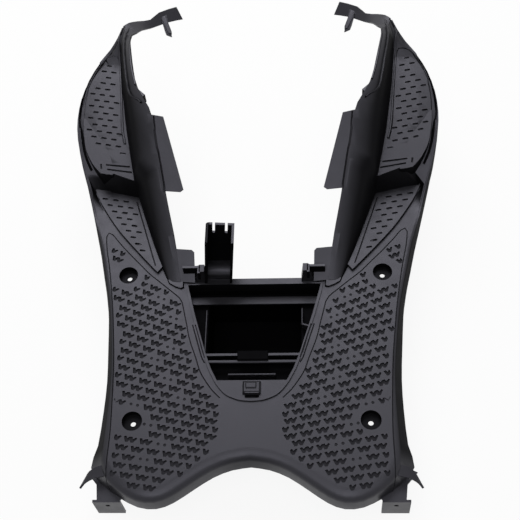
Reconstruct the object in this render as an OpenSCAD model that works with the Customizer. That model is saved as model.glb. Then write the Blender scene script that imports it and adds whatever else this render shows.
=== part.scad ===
/* [Moulding] */
// Wall thickness of the moulding
wall = 3; // [2.5:0.25:4]
// Height of the skirt below the rim
skirt_h = 19; // [12:1:26]
// Half width of the floor at the rear screws, to the rim
waist_half = 169; // [160:1:176]
// Half width at the widest point of the toe pads
bulge_half = 238; // [228:1:246]

/* [Floor screws] */
// Distance from the rear screws to the front screws
screw_pitch_y = 196; // [190:1:202]
// Half distance between the rear screws
rear_screw_x = 138.5; // [132:0.5:144]
// Half distance between the front screws
front_screw_x = 159; // [154:0.5:163]
// Diameter of a screw recess
recess_d = 24; // [20:0.5:28]
// Depth of a screw recess
recess_depth = 9; // [6:0.5:14]
// Diameter of a screw hole
screw_d = 6.5; // [4.5:0.1:8]

/* [Tread] */
// Depth of the tread marks
tread_depth = 1.2; // [0.6:0.1:1.8]
// Width of the strokes of the tread marks
tread_stroke = 2.4; // [1.6:0.1:3]

/* [Toe pads] */
// Height of the step below the toe pad
step_h = 29; // [22:1:34]
// Height of the low pad behind the step
low_pad_h = 4; // [2:0.5:6]
// Rise of the toe pad over each millimetre forwards
pad_slope = 0.145; // [0.1:0.005:0.19]

/* [Tunnel] */
// Angle at which the tunnel rises
tunnel_angle = 27.5; // [24:0.5:30]
// Where the tunnel starts to rise
tunnel_y = 184; // [180:1:188]

/* [Battery box] */
// Clear width of the battery box
box_w = 116; // [104:1:120]
// Clear length of the battery box
box_l = 84; // [76:1:86]
// Depth of the battery box below the floor
box_depth = 92; // [60:1:110]
// Rear face of the front beam
beam_y = 180; // [178:1:184]
// Depth of the ledge in front of the battery box
ledge_depth = 25; // [18:1:32]

/* [Tower] */
// Height of the cable tower above the floor
tower_h = 100; // [80:1:130]
// Width of the cable tower
tower_w = 34; // [28:1:42]
// Depth of the cable tower
tower_d = 28; // [20:1:34]

/* [Arms] */
// Distance from the rear screws to the tips of the arms
arm_tip_y = 583; // [576:1:592]

/* [Rear feet] */
// Middle of a rear foot from the middle of the part
foot_x = 165; // [160:1:168]
// Width of a rear foot
foot_w = 32; // [26:1:36]
// Height of a rear foot
foot_h = 40; // [30:1:46]
// Diameter of the screw hole in a rear foot
foot_hole_d = 5.5; // [4:0.5:7]

/* [Hidden] */
fine = 64;
joint = 0.4;
shade = [0.13, 0.13, 0.14];

function cubic(a, b, c, d, t) = b + 0.5 * t * (
    (c - a) + (2 * a - 5 * b + 4 * c - d) * t + (3 * b - a - 3 * c + d) * t * t
);

// A smooth curve through every knot, with n pieces between neighbours
function curve(k, n) = [
    for (i = [0:len(k) - 2], j = [0:n - 1])
        cubic(k[max(i - 1, 0)], k[i], k[i + 1], k[min(i + 2, len(k) - 1)], j / n),
    k[len(k) - 1]
];

function unit(v) = v / max(norm(v), 1e-9);
function flat(p) = [p[0], p[1]];

// Surface normal at a point of a grid whose row i holds the columns span[i][0] to span[i][1]
function has(span, i, j) = i >= 0 && i < len(span) && j >= span[i][0] && j <= span[i][1];
function near_to(span, i, j, di, dj) = has(span, i + di, j + dj) ? [i + di, j + dj] : [i, j];
function pick(g, at) = g[at[0]][at[1]];
function grid_normal(g, span, i, j) =
    let (along = pick(g, near_to(span, i, j, 1, 0)) - pick(g, near_to(span, i, j, -1, 0)))
    let (across = pick(g, near_to(span, i, j, 0, 1)) - pick(g, near_to(span, i, j, 0, -1)))
    unit(cross(along, across));

// A thin wall whose outer face is every cell of the grid that has its four corners
module sheet(g, span, t) {
    cols = len(g[0]);
    size = len(g) * cols;
    under = [for (i = [0:len(g) - 1], j = [0:cols - 1])
        has(span, i, j) ? g[i][j] - t * grid_normal(g, span, i, j) : [0, 0, 0]];
    function pair(i, j) = has(span, i, j) && has(span, i, j + 1);
    function cell(i, j) = pair(i, j) && pair(i + 1, j);
    faces = [for (i = [0:len(g) - 2], j = [0:cols - 2]) if (cell(i, j))
        let (a = i * cols + j, b = a + 1, c = b + cols, d = a + cols, k = size) each concat(
            [[a, b, c], [a, c, d], [a + k, c + k, b + k], [a + k, d + k, c + k]],
            cell(i - 1, j) ? [] : [[a, a + k, b + k], [a, b + k, b]],
            cell(i + 1, j) ? [] : [[d, c, c + k], [d, c + k, d + k]],
            cell(i, j - 1) ? [] : [[a, d, d + k], [a, d + k, a + k]],
            cell(i, j + 1) ? [] : [[b, b + k, c + k], [b, c + k, c]]
        )];
    polyhedron(points = concat([for (r = g, p = r) p], under), faces = faces);
}

module both_sides() {
    children();
    mirror([1, 0, 0]) children();
}

// Rim from the middle of the rear edge to the step, then from the step to the shoulder:
// x, y, z, width of the rolled edge, flare of the skirt below it, width of the band inside it
rim_rear = [
    [0, -46, -8, 12, 1, 3], [22, -49.5, -8, 12, 1, 3], [44, -58.5, -8, 12, 1, 3],
    [66, -73, -8, 13, 1, 3], [88, -88, -8, 13, 1, 3], [107, -95, -8, 13, 1, 3],
    [128, -93, -8, 13, 1, 3], [150, -81, -8, 12, 2, 3], [166, -66, -8, 12, 6, 3],
    [172, -46, -7, 9, 15, 3], [171, -22, -5, 8, 10, 3], [waist_half, 20, -3, 5.5, 9, 3],
    [waist_half + 0.5, 60, -3, 5, 8, 3], [waist_half + 4, 100, -3, 4.5, 7, 3],
    [waist_half + 9.5, 145, -3, 4, 5, 3], [waist_half + 13, 165, -3, 4, 4.5, 3],
    [waist_half + 17, 184, -3, 4, 4, 3], [waist_half + 22, 206, -3, 4, 4, 3],
    [198, 238, -3, 4, 4, 5], [206, 266, -1, 4, 3, 8], [214, 294, 3, 4, 2, 8], [221, 320, 10, 4, 1.5, 4]
];
rim_front = [
    [225, 334, 17, 4, 1, 3], [229, 348, 25, 4, 1, 3], [bulge_half - 2, 382, 39, 4, 0.5, 2],
    [bulge_half, 410, 46, 4, 0.5, 2], [bulge_half - 3, 440, 51, 4, 0.5, 2], [227, 470, 56, 4, 0.5, 2],
    [214, 495, 61, 4, 0.5, 2], [200, 513, 66, 4, 0.5, 2], [189, 526, 76, 3, 0.5, 1.5],
    [182, 534, 86, 2, 0.5, 1]
];
rim = concat(curve(rim_rear, 2), curve(rim_front, 2));
rear_rows = 2 * len(rim_rear) - 1;
function tangent(i) = unit(flat(rim[min(i + 1, len(rim) - 1)]) - flat(rim[max(i - 1, 0)]));
function outward(i) = let (t = i == 0 ? [1, 0] : tangent(i)) [t[1], -t[0]];
function rim_at(i, out, z) = let (p = flat(rim[i]) + out * outward(i)) [p[0], p[1], z];

// Surface of the toe pad above the floor
step_y = 318;
function pad_z(y) = low_pad_h + step_h + (y - step_y) * pad_slope;

// Foot of the tunnel wall, and its top line, which carries on as the top of the arm
foot_table = [for (p = curve([
    [107, 184], [117, 205], [129, 236], [144, 279], [153, 305], [158, 325], [163, 350], [168, 374],
    [174, 415], [179, 450], [182, 480], [184, 506]
], 3)) [p[1], p[0]]];
function at_wall(y) = [lookup(y, foot_table), y];
tunnel_rise = tan(tunnel_angle);
function tunnel_z(y) = 3 + (y - tunnel_y) * tunnel_rise;
top_curve = curve(concat(
    [for (p = [[92, 184], [95, 203], [99, 230], [108, 270], [114, 300], [118, 322], [123, 348], [128, 374]])
        [p[0], p[1], tunnel_z(p[1])]],
    [[149, 413, 107], [156, 440, 109], [161, 468, 107], [166, 496, 100], [168, 514, 92]]
), 3);
top_x = [for (p = top_curve) [p[1], p[0]]];
top_z = [for (p = top_curve) [p[1], p[2]]];
function top_at(y) = [lookup(y, top_x), y, lookup(y, top_z)];

// Inner edge of the floor: round the battery opening, along the beam and under the tunnel wall
opening_knots = [
    [0, 27], [7, 27.5], [14, 28.5], [21, 31], [28, 34.5], [34.5, 41], [41, 50], [45, 58], [49, 66],
    [53, 77], [57, 88], [60.5, 100], [64, 112], [72, 139], [80, 170]
];
beam_corner = [84, beam_y + 4];
opening_half = curve(concat(opening_knots, [beam_corner]), 2);
wall_ys = [184, 206, 236, 262, 288, 310];
first_wall_row = len(opening_half) + 1;
inner_rear = [for (p = concat(
    opening_half,
    [(beam_corner + at_wall(184)) / 2],
    curve([for (y = wall_ys) at_wall(y)], 2)
)) [p[0], p[1], 0]];

// Toe pad: outer edge and inner edge of its surface, then both up to the shoulder
pad_edge_plan = [[203, 336], [209, 350], [229, 385], [233, 412], [230.5, 440], [223, 468], [210, 492]];
pad_edge = curve([for (p = pad_edge_plan) [p[0], p[1], pad_z(p[1])]], 2);
pad_edge_end = curve([[210, 492, pad_z(492)], [196.5, 510, 68], [186, 522, 79], [180, 531, 88]], 2);
pad_root = curve([for (y = [318, 341, 382, 412, 440, 470, 494]) concat(at_wall(y), [pad_z(y)])], 2);
pad_root_end = curve([
    concat(at_wall(494), [pad_z(494)]), [184, 510, 70], [181, 519, 80], [177.5, 527, 88]
], 2);
function after_first(k) = [for (i = [1:len(k) - 1]) k[i]];
outer_front = concat(pad_edge, after_first(pad_edge_end));
inner_front = concat(pad_root, after_first(pad_root_end));

// Columns of a row: the hem of the skirt, the rolled edge, the band and the floor or pad
pad_steps = 3;
floor_last = 5 + pad_steps;
function row_outer(i) = i < rear_rows
    ? rim_at(i, -rim[i][3] - 2 * rim[i][5], 0)
    : outer_front[i - rear_rows];
function row_inner(i) = i < rear_rows ? inner_rear[i] : inner_front[i - rear_rows];
function row_edge(i) = i < rear_rows ? max(0, rim[i][2] - 1) : rim[i][2] - 0.5;
function row_foot(i) = i < rear_rows
    ? rim_at(i, -rim[i][3] - rim[i][5], 0)
    : let (o = outer_front[i - rear_rows]) let (p = flat(o) + rim[i][5] * outward(i))
        [p[0], p[1], min(rim[i][2] - 1.5, o[2] - 0.5)];
function floor_row(i) = let (r = rim[i], edge = row_edge(i), o = row_outer(i), n = row_inner(i)) concat(
    [rim_at(i, r[4], r[2] - skirt_h), rim_at(i, 0, r[2])],
    [for (s = [33, 62]) rim_at(i, -r[3] * (1 - cos(s)), r[2] + (edge - r[2]) * sin(s))],
    [rim_at(i, -r[3], edge), row_foot(i)],
    [for (j = [1:pad_steps]) o + (n - o) * j / pad_steps]
);

// The tunnel wall goes on from the inner edge: steep at its foot, level at its top
wall_steps = 6;
top_y_end = 514;
function wall_row(a, b, k) = [for (j = [1:wall_steps]) let (f = j / wall_steps, s = 90 * f, d = b - a)
    a + [d[0] * (k * (1 - cos(s)) + (1 - k) * f), d[1] * f, d[2] * (k * sin(s) + (1 - k) * f)]];
no_wall = [for (j = [1:wall_steps]) [0, 0, 0]];
no_floor = [for (j = [1:floor_last]) [0, 0, 0]];
half_board = [for (i = [0:len(rim) - 1]) let (n = row_inner(i))
    concat(floor_row(i), i < first_wall_row ? no_wall : wall_row(n, top_at(min(n[1], top_y_end)), 1))];

// Past the shoulder the wall carries on as a twisted band that ends in a hooked plate
band_outer = curve([
    [180, 534, 89], [173, 542, 87], [163, 551, 80], [147, 559, 74], [136, arm_tip_y - 9, 72],
    [112.5, arm_tip_y, 72]
], 2);
band_inner = curve([
    [165, 521, 88], [161, 527, 84], [155, 538, 78], [145, 549, 68], [126, arm_tip_y - 17, 60],
    [105, arm_tip_y - 9, 57]
], 2);
half_arm = [for (i = [0:len(band_outer) - 1])
    concat(no_floor, [band_outer[i]], wall_row(band_outer[i], band_inner[i], max(0, 0.7 - 0.2 * i)))];

half_grid = concat(half_board, half_arm);
all_cols = floor_last + wall_steps;
half_span = concat(
    [for (i = [0:len(rim) - 1]) [0, i < first_wall_row ? floor_last : all_cols]],
    [for (i = [0:len(band_outer) - 1]) [floor_last, all_cols]]
);
board_grid = concat(
    [for (i = [len(half_grid) - 1:-1:1]) [for (p = half_grid[i]) [-p[0], p[1], p[2]]]],
    half_grid
);
board_span = concat([for (i = [len(half_span) - 1:-1:1]) half_span[i]], half_span);

// Low pad with dashes, between the floor and the step
low_pad_knots = [[122, 198], [140, 218], [174, 258], [196, 291], [206, 309], [213, 325]];
module low_pad() {
    translate([0, 0, -wall / 2]) linear_extrude(wall / 2 + low_pad_h)
        polygon(concat(
            curve(low_pad_knots, 3),
            [[202, 333], [154, 317]],
            [for (y = [300, 280, 260, 240, 220, 206]) at_wall(y) - [wall / 2, 0]]
        ));
}

// Outline of the battery opening, grown outwards by a distance
function side_normal(k, i) =
    let (t = unit(k[min(i + 1, len(k) - 1)] - k[max(i - 1, 0)])) i == 0 ? [0, -1] : [t[1], -t[0]];
opening_side = [for (i = [0:len(opening_half) - 3]) opening_half[i]];
module both_halves(outline) {
    polygon(concat(outline, [for (i = [len(outline) - 1:-1:1]) [-outline[i][0], outline[i][1]]]));
}

module v_outline(grow, front) {
    half = [for (i = [0:len(opening_side) - 1]) opening_side[i] + grow * side_normal(opening_side, i)];
    last = half[len(half) - 1];
    both_halves(concat(half, [[last[0] + 2, front]]));
}

module recess_cups() {
    both_sides() for (p = [[rear_screw_x, 0], [front_screw_x, screw_pitch_y]])
        translate([p[0], p[1], -recess_depth - wall])
            cylinder(d = recess_d + 2 * wall, h = recess_depth + wall - joint, $fn = fine);
}

module recess_holes() {
    both_sides() for (p = [[rear_screw_x, 0], [front_screw_x, screw_pitch_y]]) translate([p[0], p[1], 0]) {
        translate([0, 0, -recess_depth]) cylinder(d = recess_d, h = recess_depth + 10, $fn = fine);
        translate([0, 0, -recess_depth - 2 * wall]) cylinder(d = screw_d, h = recess_depth, $fn = fine);
    }
}

// Tub round the battery opening, its ledges and the deep box
box_front = beam_y - 6;
box_rear = box_front - box_l;
shelf_z = -7;
module battery_tub() {
    difference() {
        translate([0, 0, -ledge_depth - wall]) linear_extrude(ledge_depth + 2 * wall - 1)
            v_outline(wall + joint, beam_y + 1);
        translate([0, 0, -ledge_depth]) linear_extrude(ledge_depth + 10) v_outline(joint, beam_y - joint);
        translate([-box_w / 2, box_rear, -ledge_depth - 2 * wall]) cube([box_w, box_l, 4 * wall]);
    }
    difference() {
        translate([-box_w / 2 - wall, box_rear - wall, -box_depth])
            cube([box_w + 2 * wall, box_l + 2 * wall, box_depth - ledge_depth - wall / 2]);
        translate([-box_w / 2, box_rear, -box_depth + wall]) cube([box_w, box_l, box_depth]);
    }
    intersection() {
        translate([0, 0, -60]) linear_extrude(120) v_outline(wall, beam_y);
        union() {
            translate([-box_w / 2, box_rear - wall - 1, -ledge_depth - wall / 2])
                cube([box_w, wall, ledge_depth - 5]);
            translate([-60, 20, shelf_z - wall]) cube([120, 34, wall]);
            translate([-60, 54 - wall, -ledge_depth - wall / 2]) cube([120, wall, ledge_depth + shelf_z]);
        }
    }
}

module front_beam() {
    translate([-92, beam_y, -ledge_depth - wall]) cube([184, wall, ledge_depth + wall - 1]);
    translate([-106, beam_y + 1, -wall]) cube([212, 8, wall - joint]);
    translate([-78, beam_y + 7, -16]) cube([156, wall, 14]);
    both_sides() translate([66, beam_y + 5, -wall + 1]) cube([wall, 11, 24]);
    both_sides() translate([66, beam_y + 13, -wall + 2]) cube([22, wall, 22]);
}

module clip_boss() {
    translate([-8, 34, shelf_z - joint]) difference() {
        cube([16, 14, 4]);
        translate([1.5, -1, -1]) cube([13, 3, 8]);
    }
}

tower_x = -62;
tower_lean = 6;
module tower() {
    translate([tower_x, beam_y + 3, -wall + 0.5]) rotate([0, tower_lean, 0]) difference() {
        cube([tower_w, tower_d, tower_h]);
        translate([wall, -1, wall]) cube([tower_w - 2 * wall, tower_d - wall + 1, tower_h + 10]);
        for (x = [8, 23]) translate([x, -1, tower_h - 18]) cube([3, tower_d + 10, 30]);
    }
}

// In the sloping plane of the tunnel: x across, y up the slope
module on_tunnel() {
    translate([0, tunnel_y, 0]) rotate([tunnel_angle, 0, 0]) children();
}

module flange_panels() {
    both_sides() on_tunnel() translate([0, 0, -1]) {
        linear_extrude(wall) polygon([[88, 117], [92, 114], [116, 116], [133, 214], [113, 210]]);
        linear_extrude(wall) polygon([[74, 0], [75, 38], [78, 41], [104, 43], [98, 2]]);
        linear_extrude(wall) polygon([[97, 40], [104, 58], [107, 58], [104, 40]]);
    }
}

module notch_tab() {
    both_sides() translate([0, 0, 88]) linear_extrude(14)
        polygon([[138, 403], [141, 400], [155, 410], [155, 420]]);
}

module prong() {
    both_sides() hull() {
        translate([131, arm_tip_y - 12, 64]) cube([6, 3, 6], center = true);
        translate([121, arm_tip_y - 35, 58]) cube([4, 3, 4], center = true);
    }
}

// Rear feet: a low web and the upright plate with the screw hole
web_z = -skirt_h - 8;
foot_y = -86;
module rear_feet() {
    both_sides() {
        translate([0, 0, web_z]) linear_extrude(wall)
            polygon([
                [foot_x - foot_w / 2, foot_y], [foot_x + foot_w / 2 - 5, foot_y],
                [foot_x + foot_w / 2 - 3, -68], [190, -54], [168, -44], [140, -76]
            ]);
        translate([foot_x - foot_w / 2, foot_y - wall, web_z + wall - foot_h]) difference() {
            cube([foot_w, wall, foot_h]);
            translate([foot_w / 2, -1, foot_h - 12]) rotate([-90, 0, 0])
                cylinder(d = foot_hole_d, h = 10, $fn = fine);
        }
    }
}

// Coarse tread: marks on the foot wells, dashes on the pads and two grooves across each step
well_in = [
    [-83, 107], [-76, 88], [-61, 66], [-42, 46], [-24, 37], [0, 31.5], [19, 31], [28, 37], [51, 56],
    [80, 68], [104, 76.5], [139, 84.6], [161, 91], [174, 105], [197, 132], [227, 160], [244, 175]
];
well_out = [
    [-83, 125], [-76, 154], [-64, 161], [-47, 163.5], [39, 164.7], [85, 167.7], [133, 172.8],
    [161, 176.6], [211, 185], [255, 192.5]
];
function clear_of(p, x, y) = norm(p - [x, y]) > recess_d / 2 + 9;
function in_well(p) = p[0] > lookup(p[1], well_in) + 10 && p[0] < lookup(p[1], well_out) - 9
    && p[1] > -78 && clear_of(p, rear_screw_x, 0) && clear_of(p, front_screw_x, screw_pitch_y);
function well_slope(y) = min(0.42, 0.15 + max(0, y + 42) * 0.0013);
well_marks = [
    for (n = [1:2:31]) let (y = 265 - 10.7 * n, slope = well_slope(y)) for (k = [0:9])
        if ((k + (n - 1) / 2) % 2 == 0)
            let (x = 19 + (17.05 + 0.05 * n) * (k + 0.5), p = [x, y + slope * (x - 130)])
                if (in_well(p)) [p, atan(slope)]
];
w_line = [[-6.8, 2], [-3.4, -2], [0, 2], [3.4, -2], [6.8, 2]];
module w_mark() {
    lift = [0, tread_stroke / 2];
    linear_extrude(2 * tread_depth, center = true)
        polygon(concat([for (p = w_line) p - lift], [for (i = [4:-1:0]) w_line[i] + lift]));
}

pad_out = [for (p = pad_edge_plan) [p[1], p[0]]];
pad_marks = [
    for (n = [0:3:15], k = [-2:4])
        let (x = 193.8 + 13.4 * (2 * k + 0.5 * (n % 2)), y = 500.2 - 9.17 * n + 0.19 * (x - 200))
            if (y < 505 && x > at_wall(y)[0] + 8 && x < lookup(y, pad_out) - 8)
                [x, y, pad_z(y)]
];
low_marks = [for (p = [[185, 307.6], [171.5, 287.2], [156.4, 266.8], [149, 239]]) [p[0], p[1], low_pad_h]];
module tread() {
    both_sides() {
        for (m = well_marks) translate(m[0]) rotate(m[1]) w_mark();
        for (p = concat(pad_marks, low_marks)) translate(p) rotate(10)
            cube([7.4, tread_stroke, 2 * tread_depth], center = true);
        for (g = [[163, 338, 5], [161, 330, 9]]) translate([g[0], g[1], pad_z(g[1]) + 1]) rotate(g[2])
            translate([0, -1.2, -tread_depth - 1]) cube([39, tread_stroke, 6]);
    }
}

// Heights are counted from the floor, and the whole part is then raised to put its screw seats at zero
module floorboard() {
    color(shade) translate([0, 0, recess_depth]) difference() {
        union() {
            sheet(board_grid, board_span, wall);
            both_sides() low_pad();
            recess_cups();
            battery_tub();
            front_beam();
            clip_boss();
            tower();
            flange_panels();
            notch_tab();
            prong();
            rear_feet();
        }
        recess_holes();
        tread();
    }
}

floorboard();
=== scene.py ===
# %% [markdown]
# # A scooter floorboard in moulded plastic
# The part is one injection moulding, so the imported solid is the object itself. This file gives it the looks:
# the camera and lights, the grained plastic, and the fine tread that is cut into its treading surfaces.
# The solid is never moved. Modifiers cut into it and smooth its shading. Ribs, posts and lips that the solid
# lacks are added as closed pieces.

# %% Load the frame
import math

import bmesh
import bpy
from mathutils import Matrix, Vector
from mathutils.bvhtree import BVHTree


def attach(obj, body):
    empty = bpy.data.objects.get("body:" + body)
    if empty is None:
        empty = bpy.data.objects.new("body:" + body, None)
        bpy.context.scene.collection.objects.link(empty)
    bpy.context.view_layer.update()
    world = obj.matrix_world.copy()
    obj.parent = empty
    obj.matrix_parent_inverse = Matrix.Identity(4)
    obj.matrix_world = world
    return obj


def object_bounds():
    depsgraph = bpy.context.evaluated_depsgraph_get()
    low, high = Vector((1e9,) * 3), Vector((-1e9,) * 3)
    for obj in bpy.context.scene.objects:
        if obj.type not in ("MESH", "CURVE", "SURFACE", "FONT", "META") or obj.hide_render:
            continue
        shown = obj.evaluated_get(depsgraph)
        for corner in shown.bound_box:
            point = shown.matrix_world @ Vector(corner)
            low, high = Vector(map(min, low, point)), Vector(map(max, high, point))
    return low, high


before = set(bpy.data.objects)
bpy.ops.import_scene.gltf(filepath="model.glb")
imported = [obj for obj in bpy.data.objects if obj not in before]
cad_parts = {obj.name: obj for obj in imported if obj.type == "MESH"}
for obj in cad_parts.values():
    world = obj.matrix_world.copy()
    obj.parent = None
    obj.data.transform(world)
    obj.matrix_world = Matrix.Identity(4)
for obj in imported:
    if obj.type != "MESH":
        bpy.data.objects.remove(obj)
cad_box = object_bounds()
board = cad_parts["floorboard"]
MM = 0.001
SEAT_DEPTH = 9.0  # the screw seats are at zero, so the floor lies this many millimetres above it


def place(x, y, z):
    """A point given in millimetres above the floor, in metres in the frame."""
    return Vector((x * MM, y * MM, (z + SEAT_DEPTH) * MM))


print("floorboard box", [round(c / MM) for corner in cad_box for c in corner])

# %% [markdown]
# ## Camera
# The photograph is taken from high up behind the rear edge, a little to the right and slightly rolled.
# The place, turn and focal length below were fitted to pairs of matching points on the left and right side.

# %% Camera
CAMERA_MM = (93.15, -460.69, 1132.27)
AZIMUTH, ELEVATION, ROLL = 7.308, 58.947, -7.138
LENS_MM = 72.69

a, e, roll = (math.radians(d) for d in (AZIMUTH, ELEVATION, ROLL))
back = Vector((math.sin(a) * math.cos(e), -math.cos(a) * math.cos(e), math.sin(e)))
level = Vector((math.cos(a), math.sin(a), 0))
upright = back.cross(level)
across = level * math.cos(roll) + upright * math.sin(roll)
above = upright * math.cos(roll) - level * math.sin(roll)
turn = Matrix((across, above, back)).transposed()

camera = bpy.data.objects.new("camera", bpy.data.cameras.new("camera"))
camera.data.sensor_width = 36.0
camera.data.lens = LENS_MM
camera.data.clip_start, camera.data.clip_end = 0.05, 20
camera.matrix_world = Matrix.Translation(place(*CAMERA_MM)) @ turn.to_4x4()
bpy.context.scene.collection.objects.link(camera)
bpy.context.scene.camera = camera
print("camera stands", round(camera.location.length, 3), "m from the rear screws")

# %% [markdown]
# ## Shader maths
# Formulas for colour and roughness read best as Python expressions. This small class wraps a socket, so
# that `1 - mask` or `a * b` adds the Math node by itself. Any other node comes from `shader.node(...)`.

# %% Shader maths


class Socket:
    """An output socket that can be used in sums; each operator adds one Math node."""

    def __init__(self, shader, out):
        self.shader, self.out = shader, out

    def maths(self, operation, *values):
        return self.shader.maths(operation, *values)

    def __add__(self, other):
        return self.maths("ADD", self, other)

    def __sub__(self, other):
        return self.maths("SUBTRACT", self, other)

    def __rsub__(self, other):
        return self.maths("SUBTRACT", other, self)

    def __mul__(self, other):
        return self.maths("MULTIPLY", self, other)

    __radd__, __rmul__ = __add__, __mul__

    def clamp(self, low, high):
        return self.maths("MAXIMUM", self.maths("MINIMUM", self, high), low)

    def ramp(self, low, high):
        """0 below low, 1 above high and a smooth rise between."""
        return self.shader.node(
            "ShaderNodeMapRange", {"interpolation_type": "SMOOTHSTEP"}, self, low, high, 0.0, 1.0
        )


class Shader:
    """The node tree of a material or of the world, with one method that makes any node."""

    def __init__(self, owner):
        owner.use_nodes = True
        self.owner, self.tree = owner, owner.node_tree
        self.tree.nodes.clear()

    def node(self, kind, settings=None, *values, output=0, **named):
        made = self.tree.nodes.new(kind)
        for key, value in (settings or {}).items():
            setattr(made, key, value)
        for index, value in [*enumerate(values), *named.items()]:
            if isinstance(index, str):
                index = index.replace("_", " ")
            if isinstance(value, Socket):
                self.tree.links.new(value.out, made.inputs[index])
            elif value is not None:
                made.inputs[index].default_value = value
        return Socket(self, made.outputs[output])

    def maths(self, operation, *values):
        return self.node("ShaderNodeMath", {"operation": operation}, *values)

    def mix(self, factor, one, other):
        """Two colours mixed; the node's number and vector sockets lie between its factor and its colours."""
        between = [None] * 5
        return self.node("ShaderNodeMix", {"data_type": "RGBA"}, factor, *between, one, other, output=2)

    def finish(self, surface, output="ShaderNodeOutputMaterial"):
        self.tree.links.new(surface.out, self.tree.nodes.new(output).inputs[0])
        return self.owner


# %% [markdown]
# ## Moulded polypropylene
# The real board is black plastic with a fine spark-eroded grain. Three noises work together: a broad one for
# the tint of the flow, a middle one for handling marks and a fine one, with small cells, for the grain. All
# are in object space, because they then keep their size on every piece. The colour is kept lower than that
# of real black plastic, and the grey of level faces is the broad gloss of the lamps.
#
# Lamps of a plain level leave the tunnel walls, the battery opening and the screw recesses much lighter than
# the dark shade wanted there. So painted shade is mixed in: a second, matt and nearly black surface, by place
# and by the way a face points. It is not a second material of the real board.

# %% Moulded polypropylene


def grey(level):
    """A dark neutral with the trace of blue of carbon black."""
    return (level, level * 0.985, level * 1.12, 1.0)


# How far the painted shade takes over in the opening, on steep walls and in the screw recesses.
OPENING_PAINTED_SHADE, STEEP_PAINTED_SHADE, RECESS_PAINTED_SHADE = 0.97, 0.85, 0.85


def painted_shade_places(s, where):
    """How far painted shade, a matt black surface, takes over: in the battery opening, on walls and in screw
    recesses.
    """
    facing = s.node("ShaderNodeTexCoord", None, output=1)
    across, ahead, height = (s.node("ShaderNodeSeparateXYZ", None, where, output=k) for k in range(3))
    upward = s.node("ShaderNodeSeparateXYZ", None, facing, output=2)
    sideways = s.maths("ABSOLUTE", across)
    in_opening = (1 - sideways.ramp(0.088, 0.094)) * ahead.ramp(0.03, 0.04)
    opening = (1 - height.ramp(-0.007, 0.001)) * in_opening
    wall = (1 - upward.ramp(0.55, 0.97)) * (1 - ahead.ramp(0.5, 0.53)) * ahead.ramp(-0.06, -0.03)
    beside_screws = sideways.ramp(0.12, 0.123) * (1 - sideways.ramp(0.172, 0.175))
    along_screws = ahead.ramp(-0.03, -0.02) * (1 - ahead.ramp(0.215, 0.225))
    recess = (1 - height.ramp(0.001, 0.0078)) * beside_screws * along_screws
    larger = s.maths("MAXIMUM", opening * OPENING_PAINTED_SHADE, wall * STEEP_PAINTED_SHADE)
    return s.maths("MAXIMUM", larger, recess * RECESS_PAINTED_SHADE)


def moulded_plastic(name, shade, grain_depth=0.00005, gloss=0.38, painted_shade_share=None):
    """Satin plastic with painted shade, whose share comes from the place or is given for a whole piece."""
    s = Shader(bpy.data.materials.new(name))
    where = s.node("ShaderNodeTexCoord", None, output=3)
    broad = s.node("ShaderNodeTexNoise", None, Vector=where, Scale=9.0, Detail=3.0)
    marks = s.node("ShaderNodeTexNoise", None, Vector=where, Scale=60.0, Detail=4.0, Roughness=0.6)
    grain = s.node("ShaderNodeTexNoise", None, Vector=where, Scale=1400.0, Detail=2.0, Roughness=0.7)
    cells = s.node("ShaderNodeTexVoronoi", None, Vector=where, Scale=800.0)
    tint = (broad * 0.6 + marks * 0.4).ramp(0.35, 0.68)
    colour = s.mix(tint, grey(shade * 0.8), grey(shade * 1.25))
    colour = s.mix(grain.ramp(0.45, 0.75) * 0.3, colour, grey(shade * 2.0))
    relief = grain * 0.6 + cells * 0.5 + marks * 0.3
    bump = s.node("ShaderNodeBump", None, Strength=0.5, Distance=grain_depth, Height=relief)
    rough = (marks * 0.2 + broad * 0.1 + gloss - 0.15 + grain * 0.05).clamp(0.22, 0.95)
    satin = s.node(
        "ShaderNodeBsdfPrincipled", None, Base_Color=colour, Roughness=rough, Normal=bump, IOR=1.43,
        Specular_Tint=(0.86, 0.85, 1.0, 1.0),
    )
    # The matt, nearly black surface is the painted shade.
    matt = s.node(
        "ShaderNodeBsdfPrincipled", None, Base_Color=grey(shade * 0.3), Roughness=0.9, Specular_IOR_Level=0.0,
        Normal=bump,
    )
    share = painted_shade_places(s, where) if painted_shade_share is None else painted_shade_share
    return s.finish(s.node("ShaderNodeMixShader", None, share, satin, matt))


plastic = moulded_plastic("polypropylene", 0.008)
# Recess walls: rougher, with a deeper grain, and darker in colour, which is painted shade in the marks and
# grooves.
eroded_painted_shade = moulded_plastic("eroded_recess_painted_shade", 0.006, grain_depth=0.00012, gloss=0.85)
# A lighter copy of the plastic with only a little painted shade: painted light, so that fittings and posts
# read as lit edges.
painted_light_edge = moulded_plastic("painted_light_edge", 0.01, painted_shade_share=0.15)
# Nearly black painted shade, for the channel and for the latch and boss mouth that lie in shade.
painted_shade_black = moulded_plastic("painted_shade_black", 0.004, gloss=0.7, painted_shade_share=0.9)
print("plastic has", len(plastic.node_tree.nodes), "nodes")

# %% [markdown]
# ## The surface to work on
# Every groove, dash and rib lies on a surface that is already there. A ray from above finds the height and
# the slope at any place, and a small matrix then stands each cutter upright on the plastic.

# %% Surface finder
surface = BVHTree.FromObject(board, bpy.context.evaluated_depsgraph_get())
SIDES = (-1, 1)


def touch(x, y, start=200.0):
    """Place and upward normal of the plastic below (x, y, start), in millimetres above the floor."""
    found, normal, _, _ = surface.ray_cast(place(x, y, start), Vector((0, 0, -1)))
    if found is None:
        return None, None
    return found, normal if normal.z > 0 else -normal


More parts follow.
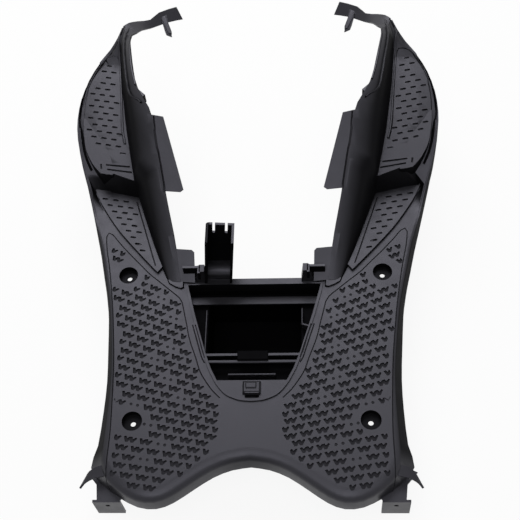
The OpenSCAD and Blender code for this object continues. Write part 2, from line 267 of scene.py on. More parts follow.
def stand(x, y, angle=0.0):
    """A matrix in metres whose +Z leaves the surface at (x, y) and whose +X is turned by angle.

    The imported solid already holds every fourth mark, so the place is read beside it and not in it.
    """
    (left, _), (right, _), (near, _), (far, _) = (
        touch(x + dx, y + dy) for dx, dy in ((-9, 0), (9, 0), (0, -5.3), (0, 5.3))
    )
    at = (near + far) / 2
    up = (right - left).cross(far - near).normalized()
    ahead = Vector((math.cos(angle), math.sin(angle), 0))
    ahead = (ahead - up * ahead.dot(up)).normalized()
    return Matrix.Translation(at) @ Matrix((ahead, up.cross(ahead), up)).transposed().to_4x4()


def cling(points):
    """The nearest places of the surface to a line in space, each with its normal."""
    hits = (surface.find_nearest(place(*p)) for p in points)
    return [(at, normal) for at, normal, _, _ in hits]


print("floor found at", round(touch(100, 20)[0].z / MM - SEAT_DEPTH, 2), "mm")

# %% [markdown]
# ## Stamps
# In a mould, small raised shapes form the marks of the tread. Here each is a punch, a closed prism with a
# little draft, so its foot is narrower than its mouth. Marks, dashes and dents only differ in the outline
# that is passed in.

# %% Stamps


def slot(length, width, steps=4):
    """Outline of a slot with round ends."""
    r, half = width / 2, (length - width) / 2
    turns = [math.pi * k / steps for k in range(steps + 1)]
    right = [Vector((half + r * math.sin(t), -r * math.cos(t))) for t in turns]
    return right + [-p for p in right]


def disc(radius, steps=12):
    """Outline of a round dent."""
    return [
        Vector((radius * math.cos(t), radius * math.sin(t)))
        for t in (2 * math.pi * k / steps for k in range(steps))
    ]


def heading(places, i):
    """Direction of a line of places at its point i."""
    return (places[min(i + 1, len(places) - 1)] - places[max(i - 1, 0)]).normalized()


class Stamps:
    """Closed prisms that are gathered in one mesh."""

    def __init__(self):
        self.bm = bmesh.new()
        self.count = 0
        self.paint = 0  # which of the cutter's materials the next faces get

    def tube(self, rings):
        """Skin rings of as many points each, and close both ends."""
        rings = [[self.bm.verts.new(p) for p in ring] for ring in rings]
        for one, other in zip(rings, rings[1:]):
            for k in range(len(one)):
                j = (k + 1) % len(one)
                self.bm.faces.new((one[k], one[j], other[j], other[k])).material_index = self.paint
        self.bm.faces.new(rings[0][::-1]).material_index = self.paint
        self.bm.faces.new(rings[-1]).material_index = self.paint
        self.count += 1

    def press(self, mouth, foot, matrix, depth, above=1.0):
        """A punch between two outlines, one below the surface and one above it."""
        reach = above / depth
        top = [m + (m - f) * reach for m, f in zip(mouth, foot)]
        levels = ((foot, -depth), (top, above))
        self.tube([[matrix @ Vector((p.x * MM, p.y * MM, z * MM)) for p in ring] for ring, z in levels])

    def ribbon(self, line, width, depth, above=1.0, foot=0.5):
        """A groove along points that lie on the surface, each with its normal."""
        places = [at for at, _ in line]
        rings = []
        for i, (at, up) in enumerate(line):
            side = heading(places, i).cross(up).normalized() * width / 2 * MM
            top, bottom = at + up * above * MM, at - up * depth * MM
            rings.append([bottom - side * foot, bottom + side * foot, top + side, top - side])
        self.tube(rings)

    def bead(self, line, width, height, sink=0.8):
        """A raised rib with a rounded top along points on the surface."""
        shoulder = height * 0.4
        section = (
            (-0.5, -sink), (0.5, -sink), (0.5, shoulder), (0.28, height), (-0.28, height), (-0.5, shoulder),
        )
        places = [at for at, _ in line]
        rings = []
        for i, (at, up) in enumerate(line):
            side = heading(places, i).cross(up).normalized()
            rings.append([at + side * x * width * MM + up * z * MM for x, z in section])
        self.tube(rings)

    def block(self, low, high, bevel):
        """A box between two corners in millimetres above the floor, with its upper edges taken off."""
        (x0, y0, z0), (x1, y1, z1) = low, high
        rings = []
        for d, z in ((0, z0), (0, z1 - bevel), (bevel, z1)):
            left, right, near, far = x0 + d, x1 - d, y0 + d, y1 - d
            ring = ((left, near), (right, near), (right, far), (left, far))
            rings.append([place(x, y, z) for x, y in ring])
        self.tube(rings)

    def done(self, name):
        bmesh.ops.triangulate(self.bm, faces=self.bm.faces[:])
        bmesh.ops.recalc_face_normals(self.bm, faces=self.bm.faces[:])
        mesh = bpy.data.meshes.new(name)
        self.bm.to_mesh(mesh)
        self.bm.free()
        made = bpy.data.objects.new(name, mesh)
        bpy.context.scene.collection.objects.link(made)
        return made


# %% [markdown]
# ## Where the tread lies
# The foot wells carry rows of W marks, the toe pads and the low pads behind the step carry rows of dashes.
# Every row is staggered against the next and rises slightly towards the outside. The limits of each field
# are short tables of x over y for the right side; the left side is its mirror image.

# %% Tread fields
WELL_IN = [
    (-84, 107), (-76, 88), (-61, 66), (-42, 46), (-24, 37), (0, 31.5), (19, 31), (28, 37), (51, 56), (80, 68),
    (104, 76.5), (139, 84.6), (152, 88), (161, 91), (174, 105), (197, 132), (227, 160), (244, 175),
]
WELL_OUT = [
    (-84, 125), (-76, 154), (-64, 161), (-47, 163.5), (-11, 163), (39, 164.7), (85, 167.7), (133, 172.8),
    (161, 176.6), (189, 181.2), (211, 185), (234, 190), (255, 192.5), (259, 189),
]
LOW_IN = [(199, 123), (218, 131), (241, 137.5), (261, 144), (284, 151), (305, 157)]
LOW_OUT = [(199, 124), (217, 142), (243, 165), (257, 175), (274, 187), (293, 198), (309, 206), (325, 214)]
PAD_IN = [(360, 168), (374, 172), (415, 178), (450, 183), (480, 187), (506, 190)]
PAD_OUT = [(350, 208), (366, 219), (385, 229), (412, 233), (440, 230.5), (468, 223), (492, 210), (508, 200)]
SCREWS = [(138.5, 0), (159, 196)]
SCREW_CLEARANCE = 14


def lookup(table, y):
    """The value of a table of pairs at y, held at its ends."""
    if y <= table[0][0]:
        return table[0][1]
    for (y0, x0), (y1, x1) in zip(table, table[1:]):
        if y <= y1:
            return x0 + (x1 - x0) * (y - y0) / (y1 - y0)
    return table[-1][1]


def off_screws(x, y):
    """Whether a place is clear of the screw recesses."""
    return all(math.dist((x, y), screw) > SCREW_CLEARANCE for screw in SCREWS)


def field(rows, row_y, first_x, pitch, slope, pivot, limits, margin, ends):
    """Places of a staggered tread, each with the slope of its row, its row and its place in the row."""
    found = []
    for n in range(*rows):
        y0 = row_y(n)
        for k in range(-3, 14):
            x = first_x + pitch(n) * (k + 0.5 * (n % 2))
            y = y0 + slope(y0) * (x - pivot)
            inner, outer = (lookup(table, y) for table in limits)
            inside = ends[0] < y < ends[1] and inner + margin[0] < x < outer - margin[1]
            if inside and off_screws(x, y):
                found.append((x, y, slope(y0), n, k))
    return found


wells = field(
    rows=(0, 35), row_y=lambda n: 265 - 10.7 * n, first_x=19, pitch=lambda n: 17.05 + 0.05 * n,
    slope=lambda y: min(0.42, 0.15 + max(0, y + 42) * 0.0013), pivot=130, limits=(WELL_IN, WELL_OUT),
    margin=(-5, -5), ends=(-86, 254),
)
pad_dashes = field(
    rows=(-1, 16), row_y=lambda n: 500.2 - 9.17 * n, first_x=193.8, pitch=lambda n: 13.4,
    slope=lambda y: 0.19, pivot=200, limits=(PAD_IN, PAD_OUT), margin=(5.5, 5.5), ends=(364, 514),
)
low_dashes = field(
    rows=(0, 9), row_y=lambda n: 305.1 - 8.8 * n, first_x=157, pitch=lambda n: 13.9,
    slope=lambda y: 0.18, pivot=170, limits=(LOW_IN, LOW_OUT), margin=(4, 5), ends=(228, 312),
)
print(len(wells), "marks,", len(pad_dashes), "and", len(low_dashes), "dashes a side")

# %% [markdown]
# ## Punching the tread
# All punches together make one cutter, and a boolean modifier takes it from the board. The tread is then
# real geometry with walls that catch the light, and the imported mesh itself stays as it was. A mark at the
# edge of its field keeps only the half that fits. Here and there two small round dents take the place of a
# mark, as in the photograph.

# %% Punch the tread
W_LEFT = [
    (-8.0, 2.9), (-5.5, -3.6), (-2.7, -3.8), (-0.4, -0.9), (-0.4, 2.6), (-1.4, 3.0), (-3.6, 0.9), (-5.0, 3.5),
]
W_RIGHT = [
    (-0.4, -0.9), (0.9, -3.6), (3.8, -3.8), (8.0, 1.8), (6.6, 3.2), (3.3, 0.9), (1.9, 3.5), (-0.4, 2.6),
]
W_WHOLE = W_LEFT[:3] + W_RIGHT[:7] + W_LEFT[5:]
MARK_DEPTH, DASH_DEPTH, DENT_DEPTH = 1.8, 1.6, 0.5
DASH_MOUTH, DASH_FOOT = slot(7.8, 2.7), slot(6.9, 1.9)
DENT_MOUTH, DENT_FOOT = disc(1.8), disc(1.3)
DENT_SHIFT = 4  # sideways, for each dent of a pair
DENTS = {(9, 5), (15, 4), (21, 3), (23, 6), (29, 5), (5, 7), (27, 4), (17, 5), (11, 4), (19, 4), (25, 5)}


def fits(half, x, y, rise, side):
    """Whether half a mark lies inside its field and off the screw recesses."""
    for px, py in half:
        mx, my = x + side * px, y + py + rise * side * px
        inner, outer = lookup(WELL_IN, my), lookup(WELL_OUT, my)
        if not (inner + 1 < mx < outer - 1 and off_screws(mx, my)):
            return False
    return True


def narrower(outline, share):
    """The same outline drawn in towards its middle."""
    points = [Vector(p) for p in outline]
    middle = sum(points, Vector((0, 0))) / len(points)
    return points, [middle + (p - middle) * share for p in points]


def turned(x, y, z, rise, side):
    """A matrix at a level place of one side, turned along a row of the tread."""
    return Matrix.Translation(place(side * x, y, z)) @ Matrix.Rotation(math.atan(rise) * side, 4, "Z")


def punch_mark(x, y, rise, dents, side):
    """A W mark, the half of it that fits, or two dents."""
    matrix = turned(x, y, 0, rise, side)
    if dents and lookup(WELL_IN, y) + 8 < x < lookup(WELL_OUT, y) - 8:
        for shift in (-DENT_SHIFT, DENT_SHIFT):
            stamps.press(DENT_MOUTH, DENT_FOOT, matrix @ Matrix.Translation((shift * MM, 0, 0)), DENT_DEPTH)
        return
    halves = [half for half in (W_LEFT, W_RIGHT) if fits(half, x, y, rise, side)]
    if len(halves) == 1:
        stamps.press(*narrower(halves[0], 0.9), matrix, MARK_DEPTH)
    if len(halves) == 2:
        stamps.press(*narrower(W_WHOLE, 0.93), matrix, MARK_DEPTH)


stamps = Stamps()
for x, y, rise, n, k in wells:
    for side in SIDES:
        punch_mark(x, y, rise, (n, k) in DENTS, side)
for x, y, rise, _, _ in pad_dashes + low_dashes:
    for side in SIDES:
        stamps.press(DASH_MOUTH, DASH_FOOT, stand(side * x, y, math.atan(rise) * side), DASH_DEPTH)
print(stamps.count, "punches")


def hide_cutter(made, *materials):
    """A cutter shows nowhere itself, but its materials go to the walls that it leaves."""
    for material in materials:
        made.data.materials.append(material)
    made.hide_render = made.hide_viewport = True
    return made


def cut_out(made, cutter):
    """Take a cutter from a piece, whose new walls get the cutter's materials."""
    step = made.modifiers.new(cutter.name, "BOOLEAN")
    step.operation, step.solver, step.object = "DIFFERENCE", "MANIFOLD", cutter
    step.material_mode = "TRANSFER"


# The walls of the marks get the recess plastic, whose darker colour is painted shade.
mark_cutter = hide_cutter(stamps.done("mark_cutter"), eroded_painted_shade)

# %% [markdown]
# ## Grooves
# A thin groove frames each foot well, thicker ones lie along the low pad, and two short ones cross the front
# of every step. A groove follows the surface point by point, along a smooth curve through a few places. The
# grooves get a cutter of their own, because with the manifold solver two closed shapes in one cutter turn
# inside out where they overlap.

# %% Grooves
stamps = Stamps()


def smooth_line(points, step=5.0):
    """Points along a smooth curve through the given ones, about a step apart."""
    pts = [Vector(p) for p in points]
    out = []
    for i in range(len(pts) - 1):
        p0, p1, p2, p3 = pts[max(i - 1, 0)], pts[i], pts[i + 1], pts[min(i + 2, len(pts) - 1)]
        count = max(1, round((p2 - p1).length / step))
        bend, twist = 2 * p0 - 5 * p1 + 4 * p2 - p3, 3 * p1 - p0 - 3 * p2 + p3
        for k in range(count):
            t = k / count
            out.append(0.5 * (2 * p1 + (p2 - p0) * t + bend * t * t + twist * t**3))
    return out + [pts[-1]]


def beside(x, y):
    """Place and normal at (x, y), read a little to both sides, so that a mark in the way is not followed."""
    level = []
    for dx, dy in ((-3, 0), (3, 0), (0, 4), (0, -4)):
        at, up = touch(x + dx, y + dy)
        if at is not None and up.z > 0.6:
            away = (x * MM - at.x) * up.x + (y * MM - at.y) * up.y
            level.append((at.z - away / up.z, tuple(up)))
    z, up = max(level)
    return Vector((x * MM, y * MM, z)), Vector(up)


def groove(points, width, depth, find=touch):
    """A groove along places seen from above, on both sides."""
    for side in SIDES:
        line = [find(side * p.x, p.y) for p in smooth_line(points)]
        stamps.ribbon([hit for hit in line if hit[0] is not None], width, depth)


def cut_line(points, width, depth):
    """A groove along points in space, cut into the nearest surface, on both sides."""
    for side in SIDES:
        stamps.ribbon(cling([(side * x, y, z) for x, y, z in smooth_line(points)]), width, depth)


WELL_EDGE = [
    (160.6, -76.7), (163.1, -68.5), (163.5, -47.2), (162.9, -10.9), (164.7, 39.4), (167.7, 85.2),
    (172.8, 132.8), (176.6, 160.8), (181.2, 189.5), (185.2, 211.5), (190, 233.9), (192.3, 254),
    (190, 259.5), (184.5, 256.5), (174.7, 244.1), (160.3, 227.4),
    (146.2, 212.3), (132.3, 197.4), (118.8, 185.7), (105.4, 174), (92.5, 162.5), (88.8, 156), (84.6, 138.6),
    (81.3, 124.7), (76.5, 104.3), (67.9, 80.2), (62.2, 63.1), (55.7, 51.4), (46.8, 38.5), (36.9, 28.3),
]
PAD_EDGE = [
    (173, 370, 40.6), (177.8, 392.6, 43.8), (180.8, 430.4, 49.3), (185.1, 476.8, 56), (187.5, 498, 62),
    (190, 503, 64), (195.6, 503.5, 64), (204, 501.2, 62.4), (210.7, 493, 60), (219.5, 476, 57),
    (226, 457, 53.6), (229.5, 432, 49.3), (228.5, 403, 43), (222.5, 375, 39), (213, 353, 36), (206, 342, 31),
]
LOW_EDGE = [
    (212, 324, 3), (204.5, 307.5, 0), (195, 291.5, 0), (181.5, 272.5, 0), (165.3, 250.8, 0),
    (150.8, 232.5, 0), (134, 211.5, 0), (124.5, 200.5, 0),
]
LOW_RIDGE = [(156.5, 304.4), (150.4, 285.5), (144.4, 266.9), (137.5, 245.5), (130.8, 224.4), (125, 207)]
PANEL_EDGE = [(125, 371, 99.5), (121.4, 342.6, 85.6), (116, 314.8, 70.4), (110.4, 284.1, 55.1)]
GUIDES = [
    [(57, 73.5), (60.3, 79.5), (64.4, 92.5), (69.2, 108.7), (73.3, 122), (74, 125)],
    [(57.2, 79), (59.2, 85.5), (63.1, 99), (67.2, 112.5), (70.6, 124)],
]

groove(WELL_EDGE, 1.8, 1.3)
cut_line(PAD_EDGE, 1.7, 1.3)
cut_line(LOW_EDGE, 2.6, 1.4)
groove(LOW_RIDGE, 2.2, 1.5)
cut_line(PANEL_EDGE, 2.6, 1.6)
for guide in GUIDES:
    groove(guide, 2.0, 1.6)
STEP_GROOVES = [((195, 341.7), (163, 338)), ((193, 335.2), (160, 329.5))]
for ends in STEP_GROOVES:
    groove(ends, 2.8, 1.6, beside)

# %% [markdown]
# ## The shaded channel and the corner of the tower
# A channel runs along the outside of each toe pad and lies deep in shade, so its faces get the cutter's second
# material, a nearly black painted shade. The cable tower leans, and one more cut rounds its upper outer
# corner.

# %% Channel and tower corner
CHANNEL = [
    (213.5, 495), (226.3, 469), (233, 441), (235, 412), (233, 397), (230.5, 386), (227, 367.5), (222.3, 354),
    (217, 343.5),
]


def level_touch(x, y):
    """Place of the surface with an upright normal, so that the channel doesn't twist on the rolled edge."""
    return touch(x, y)[0], Vector((0, 0, 1))


# The channel's faces get the second material, the nearly black painted shade.
stamps.paint = 1
groove(CHANNEL, 4.2, 1.5, level_touch)
stamps.paint = 0

TOWER_LEAN, TOWER_FOOT, TOWER_TOP, CORNER = math.radians(6), (-62, -2.5), 100, 4.5
PAST = 2  # how far the cut reaches past the tower


def leaning(x, z):
    """A point of the upright tower, moved to where its lean takes it."""
    cos, sin = math.cos(TOWER_LEAN), math.sin(TOWER_LEAN)
    return TOWER_FOOT[0] + x * cos + z * sin, TOWER_FOOT[1] - x * sin + z * cos


quarter = [k * math.pi / 12 for k in range(7)]
arc = [(CORNER - CORNER * math.cos(t), TOWER_TOP - CORNER + CORNER * math.sin(t)) for t in quarter]
outside = [(-PAST, TOWER_TOP + PAST), (-PAST, TOWER_TOP - CORNER), *arc, (CORNER, TOWER_TOP + PAST)]
cut = [leaning(x, z) for x, z in outside]
stamps.tube([[place(x, y, z) for x, z in cut] for y in (181, 213)])

groove_cutter = hide_cutter(stamps.done("groove_cutter"), eroded_painted_shade, painted_shade_black)
print(stamps.count, "grooves with", len(groove_cutter.data.polygons), "faces")

# %% [markdown]
# ## Taking the tread out of the board
# The modifier stack does the cutting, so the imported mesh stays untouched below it. A weld first joins the
# corners that the flat facets share, and two booleans take out the marks and then the grooves. Edges where
# faces meet at a gentle angle are shaded smoothly by a small node group, and weighted normals keep the large
# level faces flat next to the rounded edges.

# %% Cut and smooth


def smooth_below(angle):
    """A node group that shades an edge smoothly where its two faces meet below the angle, in degrees."""
    group = bpy.data.node_groups.new("smooth_below", "GeometryNodeTree")
    group.interface.new_socket("Geometry", in_out="INPUT", socket_type="NodeSocketGeometry")
    group.interface.new_socket("Geometry", in_out="OUTPUT", socket_type="NodeSocketGeometry")
    begin, end = group.nodes.new("NodeGroupInput"), group.nodes.new("NodeGroupOutput")
    bend = group.nodes.new("GeometryNodeInputMeshEdgeAngle")
    gentle = group.nodes.new("FunctionNodeCompare")
    gentle.data_type, gentle.operation = "FLOAT", "LESS_THAN"
    gentle.inputs[1].default_value = math.radians(angle)
    faces = group.nodes.new("GeometryNodeSetShadeSmooth")
    faces.domain = "FACE"
    edges = group.nodes.new("GeometryNodeSetShadeSmooth")
    edges.domain = "EDGE"
    group.links.new(begin.outputs[0], faces.inputs["Geometry"])
    group.links.new(faces.outputs[0], edges.inputs["Geometry"])
    group.links.new(bend.outputs[0], gentle.inputs[0])
    group.links.new(gentle.outputs[0], edges.inputs["Shade Smooth"])
    group.links.new(edges.outputs[0], end.inputs[0])
    return group


GENTLE = smooth_below(38)


def shade(made):
    """Smooth shading below the gentle angle, with normals weighted by face area."""
    step = made.modifiers.new("smooth_below", "NODES")
    step.node_group = GENTLE
    level = made.modifiers.new("weighted", "WEIGHTED_NORMAL")
    level.keep_sharp = True


weld = board.modifiers.new("weld", "WELD")
weld.merge_threshold = 0.00002
cut_out(board, mark_cutter)
cut_out(board, groove_cutter)
shade(board)
# The board's plastic carries painted shade on its walls, in the battery opening and in the screw recesses.
board.data.materials.clear()
board.data.materials.append(plastic)
print("the board carries", [step.name for step in board.modifiers])

# %% [markdown]
# ## Ribs and beads
# Two thin beads run along each arm, and a third follows the upper edge of its inner wall. They are closed
# pieces that are sunk a little into the board. Joining them with a boolean would gain nothing to the eye,
# because their feet are hidden, and it could fail where a bead only just touches the wall.

# %% Ribs and beads
ARM_BEADS = [
    [(178.1, 532.9, 88.6), (184.1, 528.5, 80), (186, 514.5, 73.7), (186.2, 496.3, 61), (183.6, 470.5, 55.5),
     (181, 445.7, 51.8), (178.9, 422.7, 48.5), (176, 392.5, 44.5), (171.5, 372, 41)],
    [(172.8, 532, 87.5), (173.8, 512.2, 91.3), (173.4, 493.7, 96), (168.1, 458.3, 102.3),
     (163.4, 429.4, 102.3), (157.6, 406.6, 99.6), (145.1, 393.3, 103.3), (137, 384, 100)],
]


def finish_piece(made, material=plastic):
    """Give a piece its material and shading, and tie it to the board's body."""
    made.data.materials.append(material)
    shade(made)
    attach(made, "root")
    return made


ARM_EDGE = [
    (167, 514, 91.5), (166.3, 496, 99.6), (161.8, 468, 106.6), (157, 440, 108.6), (150.5, 415, 106.8),
]
beads = Stamps()
for points, height in zip(ARM_BEADS, (2.0, 2.6)):
    for side in SIDES:
        beads.bead(cling([(side * x, y, z) for x, y, z in smooth_line(points)]), 2.6, height)
for side in SIDES:
    line = [(place(side * x, y, z), Vector((0, 0, 1))) for x, y, z in smooth_line(ARM_EDGE)]
    beads.bead(line, 2.4, 2.2, sink=1.6)
finish_piece(beads.done("arm_beads"))
print(beads.count, "beads")

# %% [markdown]
# ## Tongues and wall tips
# The hooks at the tips of the arms end in flat barbed tongues, which probably snap into the leg shield, and
# the tunnel wall runs out in a flat tip. Both are flat outlines with a thickness.

# %% Tongues and wall tips
TONGUE = [
    (135.5, 573), (126.8, 575.5), (121.6, 553), (124.5, 552.2), (124, 550.2), (120.4, 549.4), (118.6, 543.5),
    (126.5, 546.6), (128.5, 551),
]
WALL_TIP = [(109, 188), (107, 183), (99, 178), (91, 174.8), (87.5, 176), (88, 184), (91, 190)]
HOOK_Y, HOOK_Z, HOOK_RISE = 543, 54, 0.36  # the tongue starts here and rises forwards
TIP_MIDDLE, TIP_DRAFT = (98, 182), 0.12

tips = Stamps()
for side in SIDES:
    slope = [(x, y, HOOK_Z + (y - HOOK_Y) * HOOK_RISE) for x, y in TONGUE]
    tips.tube([[place(side * x, y, z + dz) for x, y, z in slope] for dz in (0, 2.5)])
    top = [(x + (TIP_MIDDLE[0] - x) * TIP_DRAFT, y + (TIP_MIDDLE[1] - y) * TIP_DRAFT) for x, y in WALL_TIP]
    levels = ((WALL_TIP, -1), (WALL_TIP, 0.8), (top, 2.4))
    tips.tube([[place(side * x, y, z) for x, y in ring] for ring, z in levels])
finish_piece(tips.done("tongues_and_tips"))
print(tips.count, "tongues and tips")

# %% [markdown]
# ## Pad corners
# On the real board the toe pad goes on level to its rounded rear corner, and the last dashes and both step
# grooves are cut into that corner. The solid slopes down there, so a thin plate on the plane of the pad
# covers it. Its foot follows the surface below, so that no gap shows.

# %% Pad corners
CORNER_OUT = [
    (230, 412), (229.5, 400), (227.7, 386), (224.3, 368), (219.5, 355.5), (212.5, 343), (206.5, 335.5),
    (201, 329.5),
]
CORNER_IN = [
    (190, 327.5), (184.5, 327), (185, 338), (188.5, 350), (194.5, 363), (201.5, 374), (209, 386), (218, 398),
    (227.5, 411),
]
PAD_SLOPE, PAD_START = 0.145, (318, 33)
CORNER_MIDDLE = (208, 360)
SHORT_GROOVE = ((200.6, 336), (201.6, 343))


def pad_height(y):
    """Height of the toe pad's plane above the floor."""
    return PAD_START[1] + (y - PAD_START[0]) * PAD_SLOPE


def corner_rings(side, outline):
    """Foot, rim and slightly smaller top of the plate."""
    feet = [min(touch(side * x, y)[0].z / MM - SEAT_DEPTH, pad_height(y)) - 1.5 for x, y in outline]
    middle_x, middle_y = CORNER_MIDDLE
    top = [(x + (middle_x - x) * 0.025, y + (middle_y - y) * 0.008, pad_height(y) + 0.06) for x, y in outline]
    return [
        [place(side * x, y, foot) for (x, y), foot in zip(outline, feet)],
        [place(side * x, y, pad_height(y) - 1.0) for x, y in outline],
        [place(side * x, y, z) for x, y, z in top],
    ]


corners, dashes = Stamps(), Stamps()
outline = [(p.x, p.y) for p in smooth_line(CORNER_OUT)] + CORNER_IN
tilt = Matrix.Rotation(math.atan(PAD_SLOPE), 4, "X")
for side in SIDES:
    corners.tube(corner_rings(side, outline))
    for x, y, rise, _, _ in pad_dashes:
        if y < CORNER_OUT[0][1]:
            dashes.press(DASH_MOUTH, DASH_FOOT, turned(x, y, pad_height(y), rise, side) @ tilt, 1.4)
    for ends in STEP_GROOVES + [SHORT_GROOVE]:
        line = [(place(side * x, y, pad_height(y)), Vector((0, 0, 1))) for x, y in ends]
        dashes.ribbon(line, 2.8, 1.6)
pad_corners = corners.done("pad_corners")
cut_out(pad_corners, hide_cutter(dashes.done("corner_cutter"), eroded_painted_shade))
finish_piece(pad_corners)
print(corners.count, "pad corners with", dashes.count, "cuts")

# %% [markdown]
# ## Fittings round the battery
# A cross bar below the front beam and a rail behind the box would carry the edge of a battery cover, thin
# ribs line the tub, and a boss with a latch would hold the cover down. All are plain mouldings, so each is
# either a block with its upper edges taken off, or a flat outline with a thickness.

# %% Fittings round the battery
CROSS_BAR = [(-77.6, 162.5), (77.6, 162.5), (80.6, 172.5), (-80.6, 172.5)]
SIDE_CLIP = [(58.4, 130.6), (68, 127.4), (68.6, 129), (59, 132.2)]
TUB_LOW = -26  # where the ribs of the tub begin

fittings = Stamps()
fittings.tube([[place(x, y, z) for x, y in CROSS_BAR] for z in (-20.5, -18)])
fittings.block((-54, 77.3, -11), (54, 81.2, -8), 0.6)  # the rail behind the box
fittings.block((-29.5, 61.5, TUB_LOW), (28, 63.6, -8.5), 0.5)  # the rib in the cable trough
fittings.block((-59.7, 90, TUB_LOW), (-58.3, 151, -12), 0.3)  # the rib along the left side
fittings.block((58.3, 131, TUB_LOW), (59.7, 153, -12), 0.3)  # the short rib along the right side
fittings.tube([[place(x, y, z) for x, y in SIDE_CLIP] for z in (TUB_LOW, -12.2)])
fittings.block((-11, 36, -7.5), (10.5, 51.5, -2.6), 2.0)  # the boss on the shelf
fittings.block((-7.5, 41.5, -3), (5.5, 49, -0.9), 1.2)  # its raised top
# The fittings are drawn in the lighter copy of the plastic, which is painted light.
finish_piece(fittings.done("battery_fittings"), painted_light_edge)

# The latch and the mouth of the boss lie in shade and are drawn as nearly black blocks, painted shade.
dark = Stamps()
dark.block((-18.7, 80, -12), (18.6, 92, -4.6), 1.0)  # the latch on the rail
dark.block((-8.2, 32.6, -7.2), (8.4, 36.3, -3.2), 0.4)  # the mouth of the boss
finish_piece(dark.done("battery_latch_painted_shade"), painted_shade_black)
print(fittings.count, "fittings and", dark.count, "black ones")

# %% [markdown]
# ## Posts, hump and rear lips
# Two flared posts with a short bar each stiffen the front beam, a hump in the cable tower turns the loom, and
# a lip curls down behind each rear corner. The lip is a strip swept along a short curve, with a slight twist.

# %% Posts, hump and rear lips
POST_FOOT = [(58.5, 184), (74, 184), (74, 196), (58.5, 196)]
POST_HEAD = [(61, 187), (67.5, 187), (67.5, 197), (61, 197)]
POST_FROM, POST_TO = -2, 22
BAR_NEAR, BAR_FAR = 69, 90
HUMP = [(208.5, -1), (189.5, -1), (190, 4), (191, 7), (193, 10), (197, 12.3), (203, 13.2), (208.5, 13.2)]
LIP = [(163, -57, -6), (173, -58.5, -7.5), (181, -61, -9), (187, -64.5, -11), (191, -69, -14)]
LIP_HALF_WIDTH, LIP_HALF_THICKNESS = 7.5, 1.2


def lip_rings(side):
    """Cross sections of the curled lip, from the board outwards."""
    curl = smooth_line(LIP, 3.0)
    rings = []
    for i, p in enumerate(curl):
        wide = Vector((0.5 * i / len(curl), -0.9, -0.1)) * LIP_HALF_WIDTH
        thick = heading(curl, i).cross(wide).normalized() * LIP_HALF_THICKNESS
        section = (p - wide - thick, p + wide - thick, p + wide + thick, p - wide + thick)
        rings.append([place(side * q.x, q.y, q.z) for q in section])
    return rings


posts = Stamps()
for side in SIDES:
    posts.tube(lip_rings(side))
    ends = ((POST_FOOT, POST_FROM), (POST_HEAD, POST_TO))
    posts.tube([[place(side * x, y, z) for x, y in outline] for outline, z in ends])
    low_x, high_x = sorted((side * BAR_NEAR, side * BAR_FAR))
    posts.block((low_x, 188.5, -2.9), (high_x, 193.6, -0.5), 0.3)
posts.tube([[place(x + z * math.sin(TOWER_LEAN), y, z) for y, z in HUMP] for x in (-59.3, -30.8)])
# The posts, bars, lips and hump are drawn in the lighter copy of the plastic, which is painted light.
finish_piece(posts.done("posts_and_hump"), painted_light_edge)
print(posts.count, "posts, bars, lips and the hump")

# %% [markdown]
# ## Stage
# The photograph has a plain white ground. The floor is white to the camera and to mirror rays through a
# shader that gives light of strength one there, while it stays a matt surface for the object's own light.
# A little of the matt surface is mixed in, and holds the shadow.

# %% Stage


def seen_directly(s):
    """1 for camera, glossy and transmission rays, which should meet a white background."""
    rays = s.node("ShaderNodeLightPath").out.node.outputs
    kinds = ("Is Camera Ray", "Is Glossy Ray", "Is Transmission Ray")
    camera_ray, glossy_ray, clear_ray = (Socket(s, rays[kind]) for kind in kinds)
    return s.maths("MAXIMUM", s.maths("MAXIMUM", camera_ray, glossy_ray), clear_ray)


def white_ground():
    s = Shader(bpy.data.materials.new("white_ground"))
    light = s.node("ShaderNodeEmission", None, Color=(1, 1, 1, 1), Strength=1.0)
    matt = s.node("ShaderNodeBsdfDiffuse", None, Color=(0.86, 0.86, 0.86, 1))
    return s.finish(s.node("ShaderNodeMixShader", None, seen_directly(s) * 0.9, matt, light))


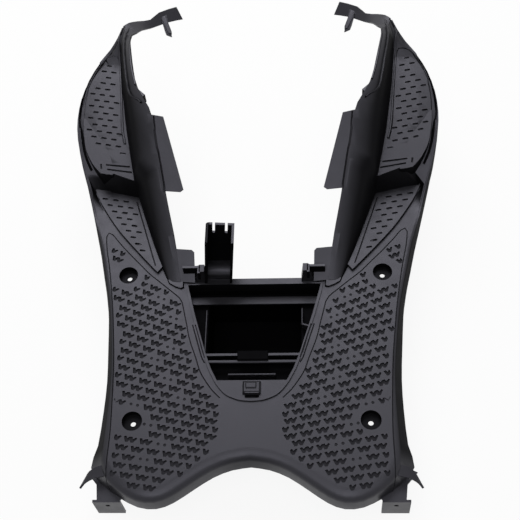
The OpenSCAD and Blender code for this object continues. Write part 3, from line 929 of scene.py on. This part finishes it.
def flat_sheet(name, corners, material):
    """One face between four corners, in metres."""
    mesh = bpy.data.meshes.new(name)
    mesh.from_pydata([Vector(c) for c in corners], [], [(0, 1, 2, 3)])
    made = bpy.data.objects.new(name, mesh)
    made.data.materials.append(material)
    bpy.context.scene.collection.objects.link(made)
    return made


GROUND = cad_box[0][2] - 0.5 * MM  # a hair below the lowest point of the board
FAR = 5.0
ground_corners = [(x * FAR, y * FAR, GROUND) for x, y in ((-1, -1), (1, -1), (1, 1), (-1, 1))]
ground = flat_sheet("ground", ground_corners, white_ground())
print("the ground lies at", round(GROUND, 4), "m")

# %% [markdown]
# ## Light
# One large soft lamp hangs beyond the front edge, where level faces mirror it to the camera, and a broad one
# stands behind the camera. The world adds an even light and is white to the camera. The lamps stand fixed in
# the scene, so the gloss moves over the board as the view turns, as it does on a real one.

# %% Light
MIDDLE = Vector((0, 0.24, 0.03))


def lamp(name, azimuth, elevation, distance, size, power):
    """A round area lamp that looks at the middle of the board, placed by its direction in degrees."""
    az, el = math.radians(azimuth), math.radians(elevation)
    way = Vector((math.sin(az) * math.cos(el), math.cos(az) * math.cos(el), math.sin(el)))
    data = bpy.data.lights.new(name, "AREA")
    data.shape, data.size, data.energy = "DISK", size, power
    made = bpy.data.objects.new(name, data)
    made.location = MIDDLE + way * distance
    made.rotation_euler = (-way).to_track_quat("-Z", "Y").to_euler()
    bpy.context.scene.collection.objects.link(made)


lamp("front_softbox", azimuth=-8, elevation=50, distance=2.2, size=1.7, power=37)
lamp("rear_softbox", azimuth=186, elevation=66, distance=2.4, size=1.6, power=19)

s = Shader(bpy.data.worlds.new("studio"))
even = s.node("ShaderNodeBackground", None, Color=(1, 1, 1, 1), Strength=0.2)
white = s.node("ShaderNodeBackground", None, Color=(1, 1, 1, 1), Strength=1.0)
both = s.node("ShaderNodeMixShader", None, seen_directly(s), even, white)
bpy.context.scene.world = s.finish(both, "ShaderNodeOutputWorld")
bpy.context.scene.view_settings.view_transform = "Standard"
print("lamps:", [light.name for light in bpy.data.lights])
